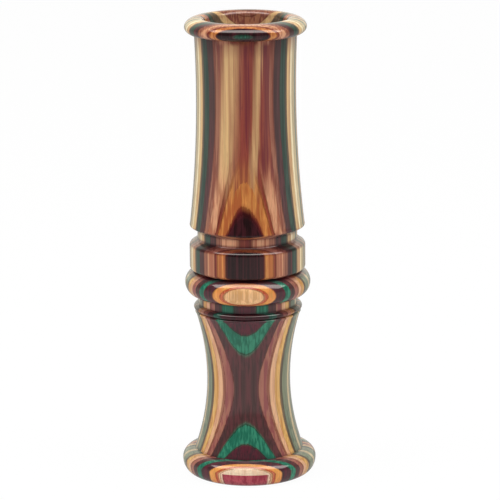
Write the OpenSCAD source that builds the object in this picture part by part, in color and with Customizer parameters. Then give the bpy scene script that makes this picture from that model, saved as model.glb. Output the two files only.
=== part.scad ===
// Two-piece duck call turned from dyed, laminated wood, standing on its bell.
// The axis is Z, the resting face is at Z = 0 and the reeds face -Y.

/* [Insert: bell and horn] */
// Diameter of the flat ring that the call stands on
rim_foot_d = 31.2; // [29:0.2:33]
// Largest diameter of the bell rim
rim_d = 37; // [34:0.2:44]
// Height of the widest line of the bell rim
rim_wide_h = 3.9; // [3:0.1:5]
// Height of the crease where the bell rim meets the horn
rim_h = 6.8; // [6:0.1:9]
// Diameter of the horn at that crease
horn_foot_d = 30; // [27:0.1:32]
// Diameter of the horn at its waist
horn_waist_d = 23; // [21:0.1:26]
// Height of the waist above the crease
horn_waist_h = 20; // [15:0.1:25]
// Length of the horn above its waist
horn_upper_len = 19.5; // [15:0.1:30]
// Diameter of the horn at its top
horn_top_d = 29.1; // [26:0.1:31]
// Rounding of the horn's top edge
horn_edge = 0.45; // [0.2:0.05:0.8]

/* [Insert: ring, neck and bead] */
// Diameter of the small ring
ring_d = 29.8; // [28.4:0.1:32]
// Height of the small ring
ring_h = 1.85; // [1.2:0.05:4]
// Diameter of the neck between the ring and the bead
neck_d = 27.2; // [25:0.1:28]
// Height of the neck
neck_h = 2.3; // [1:0.1:4]
// Largest diameter of the bead
bead_d = 34.5; // [31:0.1:40]
// Height of the bead below its widest line
bead_under_h = 3.75; // [1.5:0.05:5]
// Height of the bead above its widest line
bead_over_h = 3.6; // [2:0.1:6]
// Diameter of the flat shoulder on the bead
shoulder_d = 27.2; // [24:0.1:29]

/* [Insert: tenon and exhaust] */
// Length of the tenon inside the barrel
tenon_len = 15.3; // [13:0.1:22]
// Chamfer of the tenon's end
tenon_chamfer = 0.6; // [0.3:0.1:1]
// Running clearance between the tenon and the barrel, on the radius
tenon_gap = 0.08; // [0.03:0.01:0.1]
// Wall between the seal rings' grooves and the bore for the tone board's shank
seal_wall = 1.135; // [0.8:0.005:1.6]
// Depth of the shank's bore below the tenon's end
shank_bore_len = 18; // [14:0.5:24]
// Step on which the shank stands, between its bore and the exhaust
shank_step = 1.03; // [0.6:0.01:1.6]
// Distance by which the exhaust flares out at the bell, on the radius
bell_flare = 4.1; // [2:0.1:5]
// Height of the flared length of the exhaust
bell_flare_h = 19; // [10:0.5:25]
// Rounding of the bell's inner edge
bell_edge = 0.9; // [0.4:0.1:1.2]

/* [Barrel] */
// Bore of the barrel, three quarters of an inch
barrel_bore_d = 19.05; // [16:0.01:22]
// Diameter of the band at the joint
band_d = 31.8; // [29:0.1:36]
// Height of the band, with the slope at its top
band_h = 8.5; // [5:0.1:12]
// Height of that slope, which runs in to the groove
band_slope_h = 1.5; // [0.8:0.1:2]
// Rounding where the slope meets the band's face
band_top_edge = 0.5; // [0.2:0.1:0.7]
// Rounding of the band's bottom edge
band_low_edge = 1.1; // [0.2:0.1:1.4]
// Depth of the lanyard groove below the band
groove_depth = 2.2; // [1.5:0.1:3.5]
// Height of the groove, from the band to the bevel
groove_w = 2.5; // [1.8:0.1:5]
// Height of the cove at the groove's lower side
cove_h = 0.5; // [0.3:0.1:1.2]
// Width of that cove, on the radius
cove_w = 0.4; // [0.2:0.1:0.7]
// Height of the bevel above the groove
bevel_h = 1.1; // [0.6:0.1:3]
// Diameter of the body at its lower end
body_foot_d = 31.6; // [29.5:0.1:34]
// Rounding of the body's lower edge
body_edge = 0.5; // [0.2:0.05:0.8]
// Diameter of the body at its waist
body_waist_d = 27.2; // [26:0.1:29]
// Height of the waist above the bevel
body_waist_h = 37.6; // [20:0.1:45]
// Length of the body above the bevel
body_len = 53.1; // [50:0.1:64]

/* [Barrel: lip] */
// Distance by which the lip stands out from the body
lip_stand = 2.63; // [1:0.01:4]
// Height of the lip below its widest line
lip_under_h = 2; // [1.5:0.1:4]
// Height of the lip above its widest line
lip_over_h = 2.5; // [1.5:0.1:4]
// Distance by which the mouth flares out from the bore
mouth_flare = 1.675; // [1:0.005:2.2]
// Radius of the lip's rolled inner edge
lip_roll = 1.5; // [0.5:0.1:1.8]
// Depth at which the mouth's curve reaches the bore
mouth_depth = 14; // [8:0.5:18]

/* [Seals] */
// Thickness of the rubber of the seal rings
seal_d = 1.78; // [1.5:0.01:2]
// Height of the lower ring above the shoulder
seal_low_h = 4.6; // [3.4:0.1:5.4]
// Distance between the two rings
seal_pitch = 5.6; // [3.4:0.1:6.4]
// Clearance of a ring to the bore and to the floor of its groove
seal_gap = 0.04; // [0.03:0.01:0.08]
// Clearance on each side of a ring in its groove
seal_side_gap = 0.15; // [0.05:0.05:0.3]

/* [Tone board] */
// Room between the board and the barrel's bore, which leaves a board of five eighths of an inch
board_room = 1.585; // [1:0.005:2.2]
// Length of the board above the tenon
board_len = 44.4; // [40:0.2:50]
// Clearance between the shank and its bore, on the radius
shank_gap = 0.03; // [0.01:0.01:0.05]
// Height of the collar that holds the wedge
collar_h = 7.5; // [6:0.1:10]
// Thickness of the collar under the reeds
collar_floor = 0.7; // [0.5:0.1:1.5]
// Distance of the sounding face behind the axis, at the reeds' tail
face_back = 0.6; // [0.2:0.1:1.2]
// Taper of the sounding face away from the reeds, in degrees
face_taper = 1.6; // [1.5:0.1:2]
// Width of the wedge slot, in front of the sounding face
slot_w = 4; // [3:0.1:5]
// Width of the tone channel
channel_w = 5.6; // [4.6:0.1:6]
// Wall between the floor of the tone channel and the outside of the shank
channel_wall = 0.8; // [0.6:0.1:1.4]
// Distance between the end of the channel and the tip
channel_end = 5; // [3:0.5:8]
// Wall of the shank
shank_wall = 2.1; // [1.6:0.1:2.6]
// Thickness of the board at its tip
tip_t = 2.4; // [2:0.1:4]
// Length of the slope behind the tip
tip_slope = 7; // [4:0.5:10]

/* [Reeds and wedge] */
// Width of the reeds
reed_w = 11; // [8:0.5:12]
// Thickness of a reed
reed_t = 0.36; // [0.25:0.01:0.4]
// Distance between the long reed's end and the board's tip
reed_tip_gap = 0.4; // [0:0.1:1]
// Length by which the second reed is shorter
reed_step = 4; // [2:0.5:8]
// Radius of the reeds' front corners
reed_corner = 2.5; // [1:0.5:3.5]
// Clearance between the reeds, the sounding face and the wedge
reed_gap = 0.04; // [0.03:0.01:0.06]
// Slope of the wedge away from the reeds, in degrees
wedge_taper = 1.3; // [1.2:0.1:2]
// Height of the wedge above the collar
wedge_stand = 0.8; // [0.4:0.1:1.5]
// Rounding of the wedge's top
wedge_edge = 0.8; // [0.3:0.1:1]

/* [Hidden] */
$fn = 96;
// Steps of each round stretch of an outline
arc_steps = 14;
// Steps of the long curves of the horn and the body
curve_steps = 22;
// Overrun of the cuts
over = 1;

// Heights on the axis, from the resting face up
waist_z = rim_h + horn_waist_h;
horn_top_z = waist_z + horn_upper_len;
ring_top_z = horn_top_z + ring_h;
neck_top_z = ring_top_z + neck_h;
bead_wide_z = neck_top_z + bead_under_h;
shoulder_z = bead_wide_z + bead_over_h;
tenon_top_z = shoulder_z + tenon_len;
shank_z = tenon_top_z - shank_bore_len;
band_top_z = shoulder_z + band_h;
groove_top_z = band_top_z + groove_w;
body_z = groove_top_z + bevel_h;
lip_crease_z = body_z + body_len;
lip_wide_z = lip_crease_z + lip_under_h;
top_z = lip_wide_z + lip_over_h;
tip_z = tenon_top_z + board_len;
collar_top_z = tenon_top_z + collar_h;
slot_floor_z = tenon_top_z + collar_floor;
tail_z = slot_floor_z + reed_gap;
seal_low_z = shoulder_z + seal_low_h;
seal_high_z = seal_low_z + seal_pitch;

// Radii that follow from the barrel's bore, from the outside in
bore_r = barrel_bore_d / 2;
tenon_r = bore_r - tenon_gap;
seal_center_r = bore_r - seal_gap - seal_d / 2;
seal_floor_r = seal_center_r - seal_d / 2 - seal_gap;
seal_groove_w = seal_d + 2 * seal_side_gap;
shank_bore_r = seal_floor_r - seal_wall;
shank_r = shank_bore_r - shank_gap;
exhaust_r = shank_bore_r - shank_step;
board_r = bore_r - board_room;

// Depths in the call, measured along Y
long_reed_y = face_back - reed_gap;
short_reed_y = long_reed_y - reed_t - reed_gap;
wedge_y = short_reed_y - reed_t - reed_gap;
slot_front_y = face_back - slot_w;

// Points of an elliptical arc about a centre in the (radius, height) plane
function arc(c, rr, rz, from, to) = [
    for (i = [0:arc_steps])
        let (a = from + (to - from) * i / arc_steps)
            [c[0] + rr * cos(a), c[1] + rz * sin(a)]
];

// Points of a waisted curve that rises by `rise` over `reach` from its waist at wz
function bow(waist_r, rise, reach, wz, from, to) = [
    for (i = [0:curve_steps])
        let (z = from + (to - from) * i / curve_steps)
            [waist_r + rise * pow((z - wz) / reach, 2), z]
];

module seal_groove(z) {
    translate([0, 0, z - seal_groove_w / 2])
        difference() {
            cylinder(h = seal_groove_w, r = bore_r + over);
            translate([0, 0, -over])
                cylinder(h = seal_groove_w + 2 * over, r = seal_floor_r);
        }
}

horn_waist_r = horn_waist_d / 2;
neck_r = neck_d / 2;
insert_outside = concat(
    [[0, 0]],
    arc([rim_foot_d / 2, rim_wide_h], (rim_d - rim_foot_d) / 2, rim_wide_h, -90, 0),
    arc([horn_foot_d / 2, rim_wide_h], (rim_d - horn_foot_d) / 2, rim_h - rim_wide_h, 0, 90),
    bow(horn_waist_r, horn_foot_d / 2 - horn_waist_r, horn_waist_h, waist_z, rim_h, waist_z),
    bow(horn_waist_r, horn_top_d / 2 - horn_waist_r, horn_upper_len, waist_z,
        waist_z, horn_top_z - 2 * horn_edge),
    arc([horn_top_d / 2 - horn_edge, horn_top_z - horn_edge], horn_edge, horn_edge, 0, 90),
    arc([neck_r, horn_top_z + ring_h / 2], ring_d / 2 - neck_r, ring_h / 2, -90, 90),
    arc([neck_r, bead_wide_z], bead_d / 2 - neck_r, bead_under_h, -90, 0),
    arc([shoulder_d / 2, bead_wide_z], (bead_d - shoulder_d) / 2, bead_over_h, 0, 90),
    [
        [tenon_r, shoulder_z],
        [tenon_r, tenon_top_z - tenon_chamfer],
        [tenon_r - tenon_chamfer, tenon_top_z],
        [0, tenon_top_z]
    ]
);

bell_mouth_r = exhaust_r + bell_flare;
exhaust_outline = concat(
    [[0, -over], [bell_mouth_r + bell_edge, -over]],
    arc([bell_mouth_r + bell_edge, bell_edge], bell_edge, bell_edge, 270, 180),
    bow(exhaust_r, bell_flare, bell_flare_h - bell_edge, bell_flare_h, bell_edge, bell_flare_h),
    [[exhaust_r, shank_z + over], [0, shank_z + over]]
);

module insert() {
    color("#6b3a35")
        difference() {
            rotate_extrude() polygon(insert_outside);
            rotate_extrude() polygon(exhaust_outline);
            translate([0, 0, shank_z])
                cylinder(h = shank_bore_len + over, r = shank_bore_r);
            seal_groove(seal_low_z);
            seal_groove(seal_high_z);
        }
}

// Curve of the body, and its radius at the lip's crease
body_curve = bow(body_waist_d / 2, (body_foot_d - body_waist_d) / 2, body_waist_h,
    body_z + body_waist_h, body_z + 2 * body_edge, lip_crease_z);
lip_crease_r = body_curve[curve_steps][0];
mouth_r = bore_r + mouth_flare;
lip_top_r = mouth_r + lip_roll;
groove_r = band_d / 2 - groove_depth;
slope_turn = atan2(groove_depth - cove_w, band_slope_h);

barrel_outline = concat(
    [[bore_r, shoulder_z]],
    arc([band_d / 2 - band_low_edge, shoulder_z + band_low_edge],
        band_low_edge, band_low_edge, -90, 0),
    arc([band_d / 2 - band_top_edge, band_top_z - band_slope_h],
        band_top_edge, band_top_edge, 0, slope_turn),
    arc([groove_r + cove_w, band_top_z + cove_h], cove_w, cove_h, 270, 180),
    [[groove_r, groove_top_z]],
    arc([body_foot_d / 2 - body_edge, body_z + body_edge], body_edge, body_edge, -70, 0),
    body_curve,
    arc([lip_crease_r, lip_wide_z], lip_stand, lip_under_h, -90, 0),
    arc([lip_top_r, lip_wide_z], lip_crease_r + lip_stand - lip_top_r, lip_over_h, 0, 90),
    arc([lip_top_r, top_z - lip_roll], lip_roll, lip_roll, 90, 180),
    bow(bore_r, mouth_flare, mouth_depth - lip_roll,
        top_z - mouth_depth, top_z - lip_roll, top_z - mouth_depth)
);

module barrel() {
    color("#8a4a34")
        rotate_extrude() polygon(barrel_outline);
}

module seal_ring(z) {
    color("#222222")
        translate([0, 0, z])
            rotate_extrude()
                translate([seal_center_r, 0])
                    circle(d = seal_d);
}

module upper_seal_ring() {
    seal_ring(seal_high_z);
}

module lower_seal_ring() {
    seal_ring(seal_low_z);
}

// Side outline of the board above the collar's floor, as (Y, Z) points
function face_y(z) = face_back + (z - tail_z) * tan(face_taper);
board_side = [
    [face_back, tenon_top_z],
    [face_back, tail_z],
    [face_y(tip_z), tip_z],
    [face_y(tip_z) + tip_t, tip_z],
    [board_r, tip_z - tip_slope],
    [board_r, tenon_top_z]
];

// Side outline of the slot in the collar, whose back wall runs on as the sounding face
slot_side = [
    [slot_front_y, slot_floor_z],
    [face_back, slot_floor_z],
    [face_back, tail_z],
    [face_y(collar_top_z + over), collar_top_z + over],
    [slot_front_y, collar_top_z + over]
];

// A (Y, Z) outline given a width along X, centred on the axis
module across(width) {
    rotate([90, 0, 90])
        translate([0, 0, -width / 2])
            linear_extrude(height = width) children();
}

channel_r = channel_w / 2;
channel_y = shank_r - channel_wall - channel_r;
channel_start_z = tenon_top_z - 2 * collar_floor;

module tone_board() {
    color("#26282b")
        difference() {
            union() {
                translate([0, 0, shank_z])
                    cylinder(h = shank_bore_len + collar_floor, r = shank_r);
                difference() {
                    translate([0, 0, tenon_top_z])
                        cylinder(h = collar_h, r = board_r);
                    across(4 * board_r) polygon(slot_side);
                }
                intersection() {
                    translate([0, 0, tenon_top_z])
                        cylinder(h = board_len, r = board_r);
                    across(2 * board_r) polygon(board_side);
                }
            }
            translate([0, 0, shank_z - over])
                cylinder(h = channel_start_z + collar_floor - shank_z + over,
                    r = shank_r - shank_wall);
            translate([0, channel_y, channel_start_z])
                cylinder(h = tip_z - channel_end - channel_start_z, r = channel_r);
            translate([-channel_r, face_back - over, slot_floor_z + collar_floor])
                cube([channel_w, channel_y - face_back + over,
                      tip_z - channel_end - slot_floor_z - collar_floor]);
        }
}

// Side outline of the wedge, as (Y, Z) points
wedge_top_z = collar_top_z + wedge_stand;
wedge_front_y = slot_front_y + reed_gap;
wedge_back_y = wedge_y - (wedge_top_z - tail_z) * tan(wedge_taper);
wedge_side = concat(
    [[wedge_front_y, slot_floor_z], [wedge_y, slot_floor_z], [wedge_y, tail_z]],
    arc([wedge_back_y - wedge_edge, wedge_top_z - wedge_edge], wedge_edge, wedge_edge, 0, 90),
    arc([wedge_front_y + wedge_edge, wedge_top_z - wedge_edge], wedge_edge, wedge_edge, 90, 180)
);

module wedge() {
    color("#a8825a")
        intersection() {
            across(reed_w) polygon(wedge_side);
            translate([0, 0, tenon_top_z])
                cylinder(h = collar_h + wedge_stand + over, r = board_r);
        }
}

// A thin sheet in front of the face, standing from the tail to its rounded end
module reed(back_y, length) {
    translate([0, back_y, tail_z])
        rotate([90, 0, 0])
            linear_extrude(height = reed_t)
                union() {
                    translate([-reed_w / 2, 0])
                        square([reed_w, length - reed_corner]);
                    translate([-reed_w / 2 + reed_corner, length - 2 * reed_corner])
                        square([reed_w - 2 * reed_corner, 2 * reed_corner]);
                    for (side = [-1, 1])
                        translate([side * (reed_w / 2 - reed_corner), length - reed_corner])
                            circle(r = reed_corner);
                }
}

long_reed_len = tip_z - reed_tip_gap - tail_z;

module long_reed() {
    color("#d8dde0") reed(long_reed_y, long_reed_len);
}

module short_reed() {
    color("#c9d6dd") reed(short_reed_y, long_reed_len - reed_step);
}

insert();
barrel();
upper_seal_ring();
lower_seal_ring();
tone_board();
wedge();
long_reed();
short_reed();
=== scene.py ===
import bpy, bmesh, math
from mathutils import Matrix, Vector


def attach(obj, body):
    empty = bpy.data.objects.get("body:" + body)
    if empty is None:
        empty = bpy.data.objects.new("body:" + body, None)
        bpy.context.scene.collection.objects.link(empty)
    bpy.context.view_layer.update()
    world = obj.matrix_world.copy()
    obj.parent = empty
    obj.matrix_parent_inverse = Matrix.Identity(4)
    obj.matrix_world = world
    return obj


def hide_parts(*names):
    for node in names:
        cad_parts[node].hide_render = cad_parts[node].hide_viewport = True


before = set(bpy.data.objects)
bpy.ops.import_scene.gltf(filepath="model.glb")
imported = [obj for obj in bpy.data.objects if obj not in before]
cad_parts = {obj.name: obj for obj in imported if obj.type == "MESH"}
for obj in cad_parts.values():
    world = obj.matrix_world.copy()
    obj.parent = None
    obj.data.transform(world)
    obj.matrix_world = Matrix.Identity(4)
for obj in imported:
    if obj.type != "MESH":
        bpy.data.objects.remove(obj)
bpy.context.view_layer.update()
mm = 0.001
white, black = (1, 1, 1, 1), (0, 0, 0, 1)
print("frame loaded:", len(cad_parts), "nodes")


def dye(code):  # a written colour as linear light, by the sRGB curve
    parts = [int(code[i:i + 2], 16) / 255 for i in (1, 3, 5)]
    return tuple(p / 12.92 if p <= 0.04045 else ((p + 0.055) / 1.055) ** 2.4 for p in parts) + (1.0,)


class Wire:  # one socket of a tree, with arithmetic that adds Math nodes
    def __init__(self, tree, socket):
        self.tree = tree
        self.socket = socket

    def maths(self, operation, *values):
        return addNode(self.tree, "ShaderNodeMath", {"operation": operation}, dict(enumerate(values)))

    def __add__(self, other): return self.maths("ADD", self, other)
    def __sub__(self, other): return self.maths("SUBTRACT", self, other)
    def __rsub__(self, other): return self.maths("SUBTRACT", other, self)
    def __mul__(self, other): return self.maths("MULTIPLY", self, other)
    def __truediv__(self, other): return self.maths("DIVIDE", self, other)
    def __rtruediv__(self, other): return self.maths("DIVIDE", other, self)
    def __pow__(self, other): return self.maths("POWER", self, other)
    def over(self, limit): return self.maths("GREATER_THAN", self, limit)
    def most(self, other): return self.maths("MAXIMUM", self, other)
    def least(self, other): return self.maths("MINIMUM", self, other)


def addNode(tree, kind, settings=None, sockets=None, result=0):
    node = tree.nodes.new(kind)
    for name, value in (settings or {}).items():
        if name == "stops":  # of a ramp, as (place, colour) pairs in order
            elements = node.color_ramp.elements
            while len(elements) < len(value):
                elements.new(1.0)
            for element, (place, colour) in zip(elements, value):
                element.position = place
                element.color = colour
        elif name == "blendStops":
            node.color_ramp.interpolation = value
        else:
            setattr(node, name, value)
    for key, value in (sockets or {}).items():
        if isinstance(value, Wire):
            tree.links.new(value.socket, node.inputs[key])
        else:
            node.inputs[key].default_value = value
    return Wire(tree, node.outputs[result])


def mixColours(tree, share, first, second, blend="MIX"):
    return addNode(tree, "ShaderNodeMix", {"data_type": "RGBA", "blend_type": blend, "clamp_factor": True},
                   {0: share, 6: first, 7: second}, 2)


def ramp(value, stops, blend="LINEAR"):
    return addNode(value.tree, "ShaderNodeValToRGB", {"stops": stops, "blendStops": blend}, {0: value})


def fade(value, low, high):  # 0 below low, 1 above high, smooth between them
    return addNode(value.tree, "ShaderNodeMapRange", {"interpolation_type": "SMOOTHSTEP"},
                   {"Value": value, "From Min": low, "From Max": high})


def newMaterial(name):
    material = bpy.data.materials.new(name)
    material.use_nodes = True
    material.node_tree.nodes.clear()
    return material, material.node_tree


def surface(tree, sockets):  # a Principled shader on the material's output
    shader = addNode(tree, "ShaderNodeBsdfPrincipled", sockets=sockets)
    output = tree.nodes.new("ShaderNodeOutputMaterial")
    tree.links.new(shader.socket, output.inputs["Surface"])


def objectPlace(tree):
    return addNode(tree, "ShaderNodeTexCoord", result=3)


def along(place, direction):
    return addNode(place.tree, "ShaderNodeVectorMath", {"operation": "DOT_PRODUCT"},
                   {0: place, 1: direction}, 1)


def joined(x, y, z):
    return addNode(x.tree, "ShaderNodeCombineXYZ", sockets={0: x, 1: y, 2: z})


def stretched(place, across, up):  # the place, scaled differently across and up
    return joined(along(place, (across, 0, 0)), along(place, (0, across, 0)), along(place, (0, 0, up)))


def speckle(place, scale=1.0, detail=2.0):
    return addNode(place.tree, "ShaderNodeTexNoise", {"noise_dimensions": "3D"},
                   {"Vector": place, "Scale": scale, "Detail": detail, "Roughness": 0.5})


def swing(noise, most):  # noise from 0 to 1 as a swing to either side
    return (noise - 0.5) * (2 * most)


def bumped(height, strength, deep):
    return addNode(height.tree, "ShaderNodeBump", sockets={
        "Strength": strength, "Distance": deep * mm, "Height": height})


# laminated wood: flat dyed plies, cut by the turned surface

dyes = {  # ply colour and streak colour
    "ivory": ("#f2e4bb", "#dcc795"), "oat": ("#cfba90", "#b5a17c"), "straw": ("#dab680", "#bd8f64"),
    "honey": ("#dcae68", "#bf8648"), "peach": ("#dfae87", "#cd9570"), "tan": ("#d8b27c", "#bc8e64"),
    "fawn": ("#d59c76", "#a5644a"), "russet": ("#83493a", "#9a6650"), "rose": ("#a56c5a", "#8a4c4a"),
    "brick": ("#8e4438", "#6c2e34"), "sienna": ("#8f4230", "#6f2a24"), "amber": ("#cc8646", "#a65a30"),
    "gold": ("#e29c50", "#da8848"), "clay": ("#ecba86", "#cb9862"), "scarlet": ("#b4482f", "#c46848"),
    "garnet": ("#62171a", "#76222a"), "cream": ("#ecd2b4", "#dcb898"), "bark": ("#6e5a46", "#564a3e"),
    "umber": ("#4a3332", "#5c3436"), "plum": ("#220b0e", "#3c141b"), "wine": ("#43282e", "#57242f"),
    "pine": ("#3c5044", "#2a3e36"), "sage": ("#6c7863", "#7f8468"), "emerald": ("#1e6650", "#338064"),
    "crimson": ("#b04652", "#8e2238"), "burl": ("#7c4338", "#9c6448"),
}

barrelLaminate = {
    "turn": 2.6,  # degrees by which the plies' faces turn from the front towards the left
    "tilt": 0.0,  # mm of depth per mm of height above grain's tiltFrom
    "sag": {"low": 123.0, "middle": 125.0, "high": 130.0, "lean": 0.25},  # more tilt between low and high
    # (outer depth in mm, dye), from the middle of the blank outwards, 16 plies at most
    "front": [
        (1.1, "pine"), (2.3, "straw"), (3.6, "sage"), (5.2, "oat"), (6.25, "ivory"), (7.65, "straw"),
        (8.25, "bark"), (9.75, "pine"), (11.15, "umber"), (12.1, "russet"), (13.55, "fawn"),
        (13.95, "sienna"), (14.97, "amber"), (15.1, "garnet"), (16.53, "plum"), (19.9, "emerald")],
    "back": [
        (1.1, "tan"), (2.5, "wine"), (3.9, "amber"), (5.2, "rose"), (6.6, "pine"), (8.5, "bark"),
        (9.9, "tan"), (11.3, "burl"), (12.6, "russet"), (13.6, "umber"), (14.8, "bark"), (16.2, "plum"),
        (19.9, "pine")],
    # between these depths and heights brick and tan streaks take the plies' place; they lean by mm of
    # side per mm of height, and start frayed; each figure stop is a side in mm and its share of brick
    "heart": {"depths": (11.9, 14.4), "heights": (84.0, 100.0, 121.4, 123.0), "lean": 0.05, "from": 110.0,
              "frayed": 16.0, "ragged": 1.0, "wide": 30.0},
    "figure": [
        (-7.4, 0.95), (-6.3, 0.8), (-5.6, 0.35), (-5.0, 0.0), (-3.5, 0.0), (-2.5, 0.45), (-1.4, 0.8),
        (-0.2, 1.0), (2.0, 1.0), (2.8, 0.5), (3.3, 0.2), (4.2, 0.35), (4.9, 1.0), (6.4, 0.95)],
    # painted shade: dark rings in the turning's corners, under the lip and under the body's overhang, where
    # shade falls: height, reach down, reach up, strength, half the dark core
    "paintedShade": [(57.8, 0.5, 0.5, 0.7, 0.1), (65.9, 1.2, 1.2, 0.74, 0.8), (69.3, 1.0, 1.0, 0.6, 0.5),
                (123.0, 5.0, 1.0, 0.5, 0.1)],
}
insertLaminate = {
    "turn": 3.8,
    "tilt": 0.0105,
    "sag": {"low": 50.45, "middle": 54.2, "high": 57.8, "lean": 0.2},
    "front": [
        (2.6, "sage"), (3.9, "oat"), (6.3, "sage"), (7.1, "bark"), (8.5, "honey"), (9.55, "peach"),
        (9.9, "russet"), (10.95, "rose"), (12.25, "umber"), (13.45, "emerald"), (15.25, "wine"),
        (16.25, "gold"), (16.6, "scarlet"), (16.84, "clay"), (17.1, "cream"), (19.9, "crimson")],
    "back": [
        (1.2, "pine"), (2.6, "straw"), (3.9, "brick"), (5.2, "amber"), (6.6, "plum"), (8.0, "emerald"),
        (9.3, "tan"), (10.6, "umber"), (12.0, "honey"), (13.3, "wine"), (14.6, "emerald"),
        (15.8, "peach"), (17.1, "brick"), (19.9, "amber")],
    # below this height the plies run straight down the rim's edge, as if all of it were this wide;
    # above it they lean out as far up as top, and none deeper than most shows; below top the rim reaches
    # deeper, into the pale cream ply, which is partly the wood's own tone and partly a painted highlight on the
    # rim's top
    "rim": {"height": 3.75, "wide": 18.5, "lean": 0.4, "top": 7.0, "most": 16.73, "paler": 0.23},
    # painted shade round the foot, the rim's top, the ring, the bead's underside and under the barrel's seat
    "paintedShade": [(0.0, 0.6, 0.6, 0.4, 0.1), (7.0, 0.7, 0.7, 0.35, 0.1), (47.4, 1.3, 1.3, 0.62, 0.9),
                (50.5, 0.6, 0.6, 0.5, 0.1), (57.6, 1.1, 1.1, 0.88, 0.5)],
}
grain = {
    "span": 20.0, "reach": 140.0,  # mm that a ramp of depths and a ramp of heights cover
    "tiltFrom": 30.0, "glueLine": 0.10, "glueTint": (0.6, 0.5, 0.48, 1),
    "paintedShadeFrom": 11.2,  # mm of radius, so that no painted crease shade shows in the mouth or the bell
    "paintedShadeTint": (0.8, 1.0, 0.9),  # how much of the painted shade's strength each colour loses, so that the painted shade falls warm
    "soft": 0.1, "ragged": 0.09, "wavy": 0.07,  # mm, of the plies' edges
    "apart": 7.3,  # between the places where the noises are read, so that they differ
    # mm of each noise across, through and along the wood
    "fibre": (0.26, 0.4, 24.0), "band": (1.25, 1.1, 110.0), "line": (0.55, 0.7, 60.0),
    "fleck": (0.26, 0.4, 2.6),
    "streaks": {"band": 0.45, "line": 0.4, "fibre": 0.15, "edge": (0.46, 0.57)},
    "flecks": {"edge": (0.55, 0.72), "most": 0.4},
    "shading": {"fibre": 0.6, "line": 0.4, "edge": (0.36, 0.6), "least": 0.78, "more": 0.3},
}
lacquer = {
    "rippleScale": 220, "bump": (0.04, 0.2),  # strength, and depth in mm
    "look": {"Roughness": 0.45, "Specular IOR Level": 0.1,
             "Coat Weight": 1.0, "Coat Roughness": 0.025, "Coat IOR": 1.5},
}


def plyStops(plies, which):  # the colour runs from ply to ply over twice the soft width
    stops = [(0.0, dye(dyes[plies[0][1]][which]))]
    for (depth, dyed), (_, after) in zip(plies, plies[1:]):
        stops += [((depth - grain["soft"]) / grain["span"], dye(dyes[dyed][which])),
                  ((depth + grain["soft"]) / grain["span"], dye(dyes[after][which]))]
    return stops


def glueStops(plies):
    stops, half = [(0.0, white)], grain["glueLine"] / 2
    for depth, _ in plies[:-1]:
        stops += [((depth - half) / grain["span"], grain["glueTint"]), ((depth + half) / grain["span"], white)]
    return stops


def paintedShadeStops(paintedShade):  # white, but painted dark and warm shade round each crease
    stops = []
    for height, down, up, strength, core in paintedShade:
        dark = tuple(1 - loss * strength for loss in grain["paintedShadeTint"]) + (1,)
        stops += [((height + away) / grain["reach"], colour) for away, colour in (
            (-down, white), (-core, dark), (core, dark), (up, white))]
    return [stop for stop in stops if stop[0] >= 0]


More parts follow.
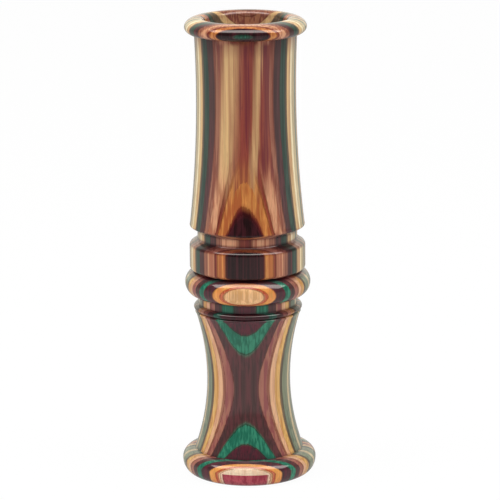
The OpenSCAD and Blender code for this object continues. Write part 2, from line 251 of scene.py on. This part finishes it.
def laminatedWood(name, size):
    material, tree = newMaterial(name)
    turn = math.radians(size["turn"])
    place = objectPlace(tree)
    depth = along(place, (-math.sin(turn) / mm, -math.cos(turn) / mm, 0))
    side = along(place, (math.cos(turn) / mm, -math.sin(turn) / mm, 0))
    height = along(place, (0, 0, 1 / mm))
    fibre, band, line, fleck = (
        speckle(joined(side / across + grain["apart"] * i, depth / through, height / run))
        for i, (across, through, run) in enumerate(grain[kind] for kind in ("fibre", "band", "line", "fleck")))
    waves = swing(fibre, grain["ragged"]) + swing(band, grain["wavy"])
    level = depth + (height - grain["tiltFrom"]) * size["tilt"] + waves
    reachOut = (side * side + depth * depth) ** 0.5
    sag = size["sag"]
    level = level - ((height - sag["middle"]) * sag["lean"]
                     * height.over(sag["low"]) * (1 - height.over(sag["high"])))
    if "rim" in size:
        rim = size["rim"]
        above = height.over(rim["height"])
        below = 1 - height.over(rim["top"])
        leaning = (height - rim["height"]) * rim["lean"] * below
        # below top the deeper cap shows the pale cream ply: partly wood tone, partly a painted highlight
        level = ((level - leaning).least(below * rim["paler"] + rim["most"]) * above
                 + level * (rim["wide"] / reachOut) * (1 - above))
    faces = {}
    for half, sign in (("front", 1), ("back", -1)):
        reach = level * (sign / grain["span"])
        faces[half] = [ramp(reach, plyStops(size[half], 0)), ramp(reach, plyStops(size[half], 1)),
                       ramp(reach, glueStops(size[half]), "CONSTANT")]
    front = level.over(0)
    body, streak, glue = (mixColours(tree, front, behind, ahead)
                          for behind, ahead in zip(faces["back"], faces["front"]))
    if "heart" in size:
        heart = size["heart"]
        inner, outer = heart["depths"]
        low, full, last, end = heart["heights"]
        where = (level.over(inner) * (1 - level.over(outer)) * fade(height + band * heart["frayed"], low, full)
                 * (1 - fade(height, last, end)))
        across = side - (height - heart["from"]) * heart["lean"] + swing(line, heart["ragged"])
        brick = ramp(across / heart["wide"] + 0.5,
                     [(at / heart["wide"] + 0.5, (part, part, part, 1)) for at, part in size["figure"]])
        body, streak = (
            mixColours(tree, where, plain, mixColours(tree, brick, dye(dyes["tan"][i]), dye(dyes["brick"][i])))
            for i, plain in enumerate((body, streak)))
        glue = mixColours(tree, where, glue, white)
    streaks, flecks, shading = grain["streaks"], grain["flecks"], grain["shading"]
    share = fade(band * streaks["band"] + line * streaks["line"] + fibre * streaks["fibre"], *streaks["edge"])
    wood = mixColours(tree, share, body, streak)
    wood = mixColours(tree, fade(fleck, *flecks["edge"]) * flecks["most"], wood, streak)
    shade = (fade(fibre * shading["fibre"] + line * shading["line"], *shading["edge"]) * shading["more"]
             + shading["least"])
    wood = mixColours(tree, 1.0, wood, mixColours(tree, shade, black, white), "MULTIPLY")
    wood = mixColours(tree, 1.0, wood, glue, "MULTIPLY")
    # painted shade in the creases and under the overhangs, multiplied over the wood
    crease = ramp(height / grain["reach"], paintedShadeStops(size["paintedShade"]))
    wood = mixColours(tree, reachOut.over(grain["paintedShadeFrom"]), wood, crease, "MULTIPLY")
    ripple = speckle(place, lacquer["rippleScale"], 1.0)
    surface(tree, {"Base Color": wood, "Normal": bumped(ripple, *lacquer["bump"]), **lacquer["look"]})
    return material


# turned shells: an outline in (radius, height), revolved by a Geometry Nodes tree

def arc(centre, wide, high, start, end, steps=30):
    turns = [math.radians(start + (end - start) * i / steps) for i in range(steps + 1)]
    return [(centre[0] + wide * math.cos(a), centre[1] + high * math.sin(a)) for a in turns]


def bow(waist, rise, reach, waistZ, start, end, steps=70):  # a curve that rises from its waist
    heights = [start + (end - start) * i / steps for i in range(steps + 1)]
    return [(waist + rise * ((z - waistZ) / reach) ** 2, z) for z in heights]


def latheTree():
    tree = bpy.data.node_groups.new("latheTree", "GeometryNodeTree")
    panel = tree.interface
    panel.new_socket("Outline", in_out="INPUT", socket_type="NodeSocketGeometry")
    panel.new_socket("Facets", in_out="INPUT", socket_type="NodeSocketInt")
    panel.new_socket("Path Radius", in_out="INPUT", socket_type="NodeSocketFloat")
    panel.new_socket("Finish", in_out="INPUT", socket_type="NodeSocketMaterial")
    panel.new_socket("Shell", in_out="OUTPUT", socket_type="NodeSocketGeometry")
    given = tree.nodes.new("NodeGroupInput").outputs
    outline, facets, radius, finish = (Wire(tree, given[i]) for i in range(4))
    profile = addNode(tree, "GeometryNodeMeshToCurve", sockets={0: outline})
    path = addNode(tree, "GeometryNodeCurvePrimitiveCircle", sockets={"Resolution": facets, "Radius": radius})
    shell = addNode(tree, "GeometryNodeCurveToMesh", sockets={"Curve": path, "Profile Curve": profile})
    smooth = addNode(tree, "GeometryNodeSetShadeSmooth", sockets={0: shell})
    real = addNode(tree, "GeometryNodeRealizeInstances", sockets={0: smooth})
    done = addNode(tree, "GeometryNodeSetMaterial", sockets={"Geometry": real, "Material": finish})
    tree.links.new(done.socket, tree.nodes.new("NodeGroupOutput").inputs[0])
    return tree


lathe = {"facets": 200, "pathRadius": 30.0, "crispAngle": 32, "double": 1e-7}  # mm, degrees and metres


def turned(name, outline, material, tree):
    path = lathe["pathRadius"]
    points = []
    for r, z in outline:  # the circle's path is taken off the radius, and doubles are dropped
        point = Vector(((r - path) * mm, -z * mm, 0))
        if not points or (point - points[-1]).length > lathe["double"]:
            points.append(point)
    if (points[0] - points[-1]).length < lathe["double"]:
        points.pop()
    loop = bpy.data.meshes.new(name + "Outline")
    loop.from_pydata(points, [(i, (i + 1) % len(points)) for i in range(len(points))], [])
    maker = bpy.data.objects.new(name + "Maker", loop)
    bpy.context.collection.objects.link(maker)
    modifier = maker.modifiers.new("lathe", "NODES")
    modifier.node_group = tree
    values = {"Facets": lathe["facets"], "Path Radius": path * mm, "Finish": material}
    for item in tree.interface.items_tree:
        if item.name in values:
            modifier[item.identifier] = values[item.name]
    mesh = bpy.data.meshes.new_from_object(maker.evaluated_get(bpy.context.evaluated_depsgraph_get()))
    bpy.data.objects.remove(maker)
    work = bmesh.new()
    work.from_mesh(mesh)
    bmesh.ops.remove_doubles(work, verts=work.verts, dist=lathe["double"])
    bmesh.ops.recalc_face_normals(work, faces=work.faces)
    work.to_mesh(mesh)
    work.free()
    mesh.set_sharp_from_angle(angle=math.radians(lathe["crispAngle"]))
    return placed(name, mesh)


def placed(name, mesh):
    piece = bpy.data.objects.new(name, mesh)
    bpy.context.collection.objects.link(piece)
    return piece


barrelTurning = {
    "bore": 9.525, "seat": 57.8,
    "bandRadius": 15.9, "bandTop": 66.3, "slopeHeight": 1.85, "bandTopEdge": 1.3, "bandLowEdge": 1.1,
    "grooveRadius": 13.7, "grooveTop": 68.8, "coveHeight": 0.5, "coveWidth": 0.4,
    "bodyLow": 69.9, "bodyFoot": 15.8, "bodyEdge": 0.5, "bodyWaist": 13.6, "waistHeight": 37.6,
    "lipCrease": 123.0, "lipStand": 2.63, "lipUnder": 2.0, "lipOver": 2.5, "lipRoll": 1.5,
    "mouthFlare": 1.675, "mouthDepth": 14.0,
}


def barrelOutline(s):
    wide = s["lipCrease"] + s["lipUnder"]
    top = wide + s["lipOver"]
    waistZ = s["bodyLow"] + s["waistHeight"]
    body = bow(s["bodyWaist"], s["bodyFoot"] - s["bodyWaist"], s["waistHeight"], waistZ,
               s["bodyLow"] + 2 * s["bodyEdge"], s["lipCrease"])
    crease = body[-1][0]
    lipTop = s["bore"] + s["mouthFlare"] + s["lipRoll"]
    low, high = s["bandLowEdge"], s["bandTopEdge"]
    slopeTurn = math.degrees(math.atan2(s["bandRadius"] - s["grooveRadius"] - s["coveWidth"], s["slopeHeight"]))
    return (
        [(s["bore"], s["seat"])]
        + arc((s["bandRadius"] - low, s["seat"] + low), low, low, -90, 0)
        + arc((s["bandRadius"] - high, s["bandTop"] - s["slopeHeight"]), high, high, 0, slopeTurn, steps=16)
        + arc((s["grooveRadius"] + s["coveWidth"], s["bandTop"] + s["coveHeight"]),
              s["coveWidth"], s["coveHeight"], 270, 180, steps=14)
        + [(s["grooveRadius"], s["grooveTop"])]
        + arc((s["bodyFoot"] - s["bodyEdge"], s["bodyLow"] + s["bodyEdge"]),
              s["bodyEdge"], s["bodyEdge"], -70, 0, steps=10)
        + body
        + arc((crease, wide), s["lipStand"], s["lipUnder"], -90, 0)
        + arc((lipTop, wide), crease + s["lipStand"] - lipTop, s["lipOver"], 0, 90)
        + arc((lipTop, top - s["lipRoll"]), s["lipRoll"], s["lipRoll"], 90, 180, steps=16)
        + bow(s["bore"], s["mouthFlare"], s["mouthDepth"] - s["lipRoll"], top - s["mouthDepth"],
              top - s["lipRoll"], top - s["mouthDepth"], steps=24))


insertTurning = {
    "foot": 15.6, "rim": 18.5, "rimWide": 3.9, "rimHeight": 6.8,
    "hornFoot": 15.0, "hornWaist": 11.5, "waistHeight": 20.0, "hornUpper": 19.5, "hornTop": 14.55,
    "hornEdge": 0.45, "ring": 14.9, "ringHeight": 1.85, "neck": 13.6, "neckHeight": 2.3,
    "bead": 17.25, "beadUnder": 3.75, "beadOver": 3.6, "shoulder": 13.6,
    "tenonRadius": 9.445, "tenonLength": 15.3, "tenonChamfer": 0.6,
    "sealHeights": (4.6, 10.2), "sealFloor": 7.665, "sealWidth": 2.08,
    "shankBore": 6.53, "shankDepth": 18.0, "exhaust": 5.5,
    "bellFlare": 4.1, "flareHeight": 19.0, "bellEdge": 0.9,
}


def insertOutline(s):
    waistZ = s["rimHeight"] + s["waistHeight"]
    hornTop = waistZ + s["hornUpper"]
    beadZ = hornTop + s["ringHeight"] + s["neckHeight"] + s["beadUnder"]
    seat = beadZ + s["beadOver"]
    end = seat + s["tenonLength"]
    neck, edge = s["neck"], s["hornEdge"]
    outline = (
        arc((s["foot"], s["rimWide"]), s["rim"] - s["foot"], s["rimWide"], -90, 0)
        + arc((s["hornFoot"], s["rimWide"]), s["rim"] - s["hornFoot"], s["rimHeight"] - s["rimWide"], 0, 90)
        + bow(s["hornWaist"], s["hornFoot"] - s["hornWaist"], s["waistHeight"], waistZ,
              s["rimHeight"], waistZ, steps=50)
        + bow(s["hornWaist"], s["hornTop"] - s["hornWaist"], s["hornUpper"], waistZ,
              waistZ, hornTop - 2 * edge, steps=50)
        + arc((s["hornTop"] - edge, hornTop - edge), edge, edge, 0, 90, steps=10)
        + arc((neck, hornTop + s["ringHeight"] / 2), s["ring"] - neck, s["ringHeight"] / 2, -90, 90)
        + arc((neck, beadZ), s["bead"] - neck, s["beadUnder"], -90, 0)
        + arc((s["shoulder"], beadZ), s["bead"] - s["shoulder"], s["beadOver"], 0, 90)
        + [(s["tenonRadius"], seat)])
    for height in s["sealHeights"]:
        low, high = seat + height - s["sealWidth"] / 2, seat + height + s["sealWidth"] / 2
        outline += [(s["tenonRadius"], low), (s["sealFloor"], low),
                    (s["sealFloor"], high), (s["tenonRadius"], high)]
    return (
        outline
        + [(s["tenonRadius"], end - s["tenonChamfer"]), (s["tenonRadius"] - s["tenonChamfer"], end),
           (s["shankBore"], end), (s["shankBore"], end - s["shankDepth"]),
           (s["exhaust"], end - s["shankDepth"])]
        + bow(s["exhaust"], s["bellFlare"], s["flareHeight"] - s["bellEdge"], s["flareHeight"],
              s["flareHeight"], s["bellEdge"], steps=40)
        + arc((s["exhaust"] + s["bellFlare"] + s["bellEdge"], s["bellEdge"]),
              s["bellEdge"], s["bellEdge"], 180, 270, steps=12))


shellTree = latheTree()
barrelWood = laminatedWood("barrelWood", barrelLaminate)
insertWood = laminatedWood("insertWood", insertLaminate)
barrelShell = turned("turnedBarrel", barrelOutline(barrelTurning), barrelWood, shellTree)
insertShell = turned("turnedInsert", insertOutline(insertTurning), insertWood, shellTree)
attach(barrelShell, "barrel")
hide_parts("barrel")
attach(insertShell, "insert")
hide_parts("insert")
print("turned shells:", len(barrelShell.data.polygons), "and", len(insertShell.data.polygons), "faces")


# what the tenon carries: rubber rings, the tone board, two reeds and the cork wedge; in each finish
# a bump is a strength and a depth in mm, and a roughness is the least and what the pattern adds

rubber = {
    "centre": 8.595, "section": 0.89, "sides": 28,
    "heights": {"lower_seal_ring": 62.4, "upper_seal_ring": 68.0},
    "names": {"lower_seal_ring": "lowerSealRing", "upper_seal_ring": "upperSealRing"},
    "colour": "#1b1a1c", "dust": "#39373a", "dusty": 0.5, "mottleScale": 900, "mottleEdge": (0.4, 0.65),
    "gritScale": 6000, "bump": (0.25, 0.02), "roughness": (0.42, 0.15),
}
plastic = {
    "edge": 0.12, "colour": "#141416", "worn": "#2b2b2f", "scuffed": 0.5, "flow": (400, 60),
    "scuffEdge": (0.5, 0.75), "grainScale": 5200, "bump": (0.12, 0.02), "roughness": (0.22, 0.14),
}
cork = {
    "edge": 0.15, "colour": "#c79a67", "light": "#dcb684", "pit": "#5b3a22", "cell": 0.55, "pitSize": 1.3,
    "pitEdge": (0.60, 0.66), "pitDepth": 0.6, "grainScale": 3000, "bump": (0.5, 0.06),
    "roughness": (0.78, 0.1),
}
film = {
    "colour": "#dfe6ea", "shade": "#bfcad2", "flow": (900, 30), "drawnEdge": (0.35, 0.7),
    "bump": (0.08, 0.02), "roughness": (0.16, 0.1), "clear": 0.6, "ior": 1.5,
}
softening = {"double": 1e-6, "flat": 0.5, "hard": 35, "crisp": 30, "segments": 2}  # metres and degrees


def rubberFinish(s):
    material, tree = newMaterial("sealRubber")
    place = objectPlace(tree)
    mottle = fade(speckle(place, s["mottleScale"], 3.0), *s["mottleEdge"])
    least, more = s["roughness"]
    surface(tree, {"Base Color": mixColours(tree, mottle * s["dusty"], dye(s["colour"]), dye(s["dust"])),
                   "Roughness": mottle * more + least,
                   "Normal": bumped(speckle(place, s["gritScale"]), *s["bump"])})
    return material


def plasticFinish(s):
    material, tree = newMaterial("boardPlastic")
    place = objectPlace(tree)
    scuff = fade(speckle(stretched(place, *s["flow"])), *s["scuffEdge"])
    least, more = s["roughness"]
    surface(tree, {"Base Color": mixColours(tree, scuff * s["scuffed"], dye(s["colour"]), dye(s["worn"])),
                   "Roughness": scuff * more + least,
                   "Normal": bumped(speckle(place, s["grainScale"]), *s["bump"])})
    return material


def corkFinish(s):
    material, tree = newMaterial("wedgeCork")
    place = objectPlace(tree)
    cells = addNode(tree, "ShaderNodeTexVoronoi", {"feature": "F1"},
                    {"Vector": place, "Scale": 1 / (s["cell"] * mm)}, 1)
    tone = addNode(tree, "ShaderNodeSeparateColor", sockets={0: cells})
    pits = fade(speckle(place, 1 / (s["pitSize"] * mm), 3.0), *s["pitEdge"])
    bark = mixColours(tree, tone, dye(s["colour"]), dye(s["light"]))
    hills = speckle(place, s["grainScale"], 3.0) - pits * s["pitDepth"]
    least, more = s["roughness"]
    surface(tree, {"Base Color": mixColours(tree, pits, bark, dye(s["pit"])),
                   "Roughness": pits * more + least, "Normal": bumped(hills, *s["bump"])})
    return material


def filmFinish(s):
    material, tree = newMaterial("reedFilm")
    drawn = fade(speckle(stretched(objectPlace(tree), *s["flow"])), *s["drawnEdge"])
    least, more = s["roughness"]
    surface(tree, {"Base Color": mixColours(tree, drawn, dye(s["colour"]), dye(s["shade"])),
                   "Roughness": drawn * more + least, "Normal": bumped(drawn, *s["bump"]),
                   "Transmission Weight": s["clear"], "IOR": s["ior"]})
    return material


def softened(name, node, width, material):  # a copy of the CAD piece with its hard edges broken
    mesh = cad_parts[node].data.copy()
    work = bmesh.new()
    work.from_mesh(mesh)
    bmesh.ops.remove_doubles(work, verts=work.verts, dist=softening["double"])
    bmesh.ops.dissolve_limit(work, angle_limit=math.radians(softening["flat"]),
                             verts=work.verts, edges=work.edges)
    hard = [e for e in work.edges
            if len(e.link_faces) == 2 and e.calc_face_angle() > math.radians(softening["hard"])]
    bmesh.ops.bevel(work, geom=hard, offset=width * mm, offset_type="OFFSET", segments=softening["segments"],
                    profile=0.5, affect="EDGES", clamp_overlap=True)
    bmesh.ops.recalc_face_normals(work, faces=work.faces)
    work.to_mesh(mesh)
    work.free()
    mesh.materials.clear()
    mesh.materials.append(material)
    mesh.polygons.foreach_set("use_smooth", [True] * len(mesh.polygons))
    mesh.set_sharp_from_angle(angle=math.radians(softening["crisp"]))
    return placed(name, mesh)


ringRubber = rubberFinish(rubber)
for node, height in rubber["heights"].items():
    loop = arc((rubber["centre"], height), rubber["section"], rubber["section"], 0, 360, rubber["sides"])
    ring = turned(rubber["names"][node], loop[:-1], ringRubber, shellTree)
    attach(ring, "seals")
    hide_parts(node)

board = softened("mouldedToneBoard", "tone_board", plastic["edge"], plasticFinish(plastic))
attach(board, "insert")
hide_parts("tone_board")
corkBlock = softened("corkWedge", "wedge", cork["edge"], corkFinish(cork))
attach(corkBlock, "insert")
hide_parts("wedge")
reedFilm = filmFinish(film)
for node in ("long_reed", "short_reed"):
    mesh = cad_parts[node].data
    mesh.materials.clear()
    mesh.materials.append(reedFilm)
print("tenon pieces:", len(board.data.polygons), "faces on the tone board")


# the stage: lamps, floor, backdrop and camera

studio = {
    "roomLight": 0.55, "gloss": (0.02, 1.0), "glossFrom": (0.2, 0.85), "glossTint": (1.0, 0.965, 0.85, 1),
    "lamps": [  # place and aim in metres, width, height, watts, shown in reflections
        ("overheadLamp", (0.0, -0.06, 0.80), (0, 0, 0.08), 0.80, 0.30, 4.5, False),
        ("leftLamp", (-0.85, -0.35, 0.30), (0, 0, 0.06), 0.5, 1.0, 3.4, False),
        ("rightLamp", (0.85, -0.35, 0.30), (0, 0, 0.06), 0.5, 1.0, 2.6, False),
    ],
    "panel": ("ceilingPanel", (0.05, -0.33, 0.82), (0, 0, 0.055), 2.3, 0.5, 21.0, True),
    "panelTurn": -13.0, "panelTint": (1.0, 0.96, 0.9),  # the pale ceiling, which shows in the lacquer alone
    "floorReach": 3, "floorColour": (0.86, 0.86, 0.86, 1), "floorWhite": 0.97,
    "floorGloss": 0.5, "floorEnd": (-0.75, -0.12), "floorTint": (1.0, 0.96, 0.92, 1),
}


def seenAndMirrored(tree):  # rays from the camera, also through clear film, and mirrored ones
    rays = tree.nodes.new("ShaderNodeLightPath").outputs
    camera, through, glossy = (Wire(tree, rays[name]) for name in (
        "Is Camera Ray", "Is Transmission Ray", "Is Glossy Ray"))
    return camera.most(through), glossy


def makeRoom(size):
    world = bpy.data.worlds.new("studioRoom")
    bpy.context.scene.world = world
    world.use_nodes = True
    tree = world.node_tree
    tree.nodes.clear()
    seen, glossy = seenAndMirrored(tree)
    way = addNode(tree, "ShaderNodeTexCoord", result=0)
    dim, bright = size["gloss"]
    mirrored = fade(along(way, (0, 1, 0)), *size["glossFrom"]) * (bright - dim) + dim
    plain = addNode(tree, "ShaderNodeBackground", sockets={"Color": white, "Strength": size["roomLight"]})
    gloss = addNode(tree, "ShaderNodeBackground", sockets={"Color": size["glossTint"], "Strength": mirrored})
    backdrop = addNode(tree, "ShaderNodeBackground", sockets={"Color": white, "Strength": 1.0})
    lit = addNode(tree, "ShaderNodeMixShader", sockets={0: glossy, 1: plain, 2: gloss})
    shown = addNode(tree, "ShaderNodeMixShader", sockets={0: seen, 1: lit, 2: backdrop})
    output = tree.nodes.new("ShaderNodeOutputWorld")
    tree.links.new(shown.socket, output.inputs["Surface"])


def addLamp(name, place, aim, wide, high, watts, mirrored):
    light = bpy.data.lights.new(name, "AREA")
    light.shape = "RECTANGLE"
    light.size, light.size_y, light.energy = wide, high, watts
    lamp = placed(name, light)
    lamp.location = place
    lamp.visible_glossy = mirrored
    lamp.rotation_euler = (Vector(aim) - Vector(place)).to_track_quat("-Z", "Y").to_euler()
    return lamp


def makeFloor(size):
    material, tree = newMaterial("paleFloor")
    seen, glossy = seenAndMirrored(tree)
    near = fade(along(objectPlace(tree), (0, 1, 0)), *size["floorEnd"])
    backdrop = addNode(tree, "ShaderNodeEmission", sockets={"Strength": 1.0})
    plain = addNode(tree, "ShaderNodeBsdfDiffuse", sockets={"Color": size["floorColour"]})
    mirrored = addNode(tree, "ShaderNodeEmission", sockets={
        "Color": size["floorTint"], "Strength": near * size["floorGloss"]})
    shown = addNode(tree, "ShaderNodeMixShader", sockets={
        0: seen * size["floorWhite"], 1: plain, 2: backdrop})
    both = addNode(tree, "ShaderNodeMixShader", sockets={0: glossy, 1: shown, 2: mirrored})
    output = tree.nodes.new("ShaderNodeOutputMaterial")
    tree.links.new(both.socket, output.inputs["Surface"])
    reach = size["floorReach"]
    mesh = bpy.data.meshes.new("studioFloor")
    mesh.from_pydata([(-reach, -reach, 0), (reach, -reach, 0), (reach, reach, 0), (-reach, reach, 0)],
                     [], [(0, 1, 2, 3)])
    mesh.materials.append(material)
    floor = placed("studioFloor", mesh)


makeRoom(studio)
for lamp in studio["lamps"]:
    addLamp(*lamp)
ceiling = addLamp(*studio["panel"])
ceiling.data.color = studio["panelTint"]
ceiling.rotation_euler.rotate_axis("Z", math.radians(studio["panelTurn"]))
ceiling.visible_diffuse = False
makeFloor(studio)

view = {
    "rise": 13.5, "distance": 825.0, "lens": 216.0, "lean": 0.516,  # degrees, mm, mm and degrees
    "axisHeight": 60.8, "axisOffset": (-2.43, -7.0), "pixel": 0.275,  # where that point stands from the centre
    "sensor": 36, "nearest": 0.01, "farthest": 20,  # mm, metres and metres
}


def makeCamera(s):
    rise, lean = math.radians(s["rise"]), math.radians(s["lean"])
    ahead = Vector((0, math.cos(rise), -math.sin(rise)))
    flatUp = Vector((0, math.sin(rise), math.cos(rise)))
    right = Vector((1, 0, 0)) * math.cos(lean) - flatUp * math.sin(lean)
    up = flatUp * math.cos(lean) + Vector((1, 0, 0)) * math.sin(lean)
    aim = Vector((0, 0, s["axisHeight"])) - (right * s["axisOffset"][0] + up * s["axisOffset"][1]) * s["pixel"]
    eye = aim - ahead * s["distance"]
    camera = placed("photoCamera", bpy.data.cameras.new("photoCamera"))
    camera.data.lens, camera.data.sensor_width = s["lens"], s["sensor"]
    camera.data.clip_start, camera.data.clip_end = s["nearest"], s["farthest"]
    turn = Matrix((right, up, -ahead)).transposed()
    camera.matrix_world = Matrix.Translation(eye * mm) @ turn.to_4x4()
    bpy.context.scene.camera = camera


makeCamera(view)
bpy.context.scene.view_settings.view_transform = "Standard"
print("stage, lamps and camera set")
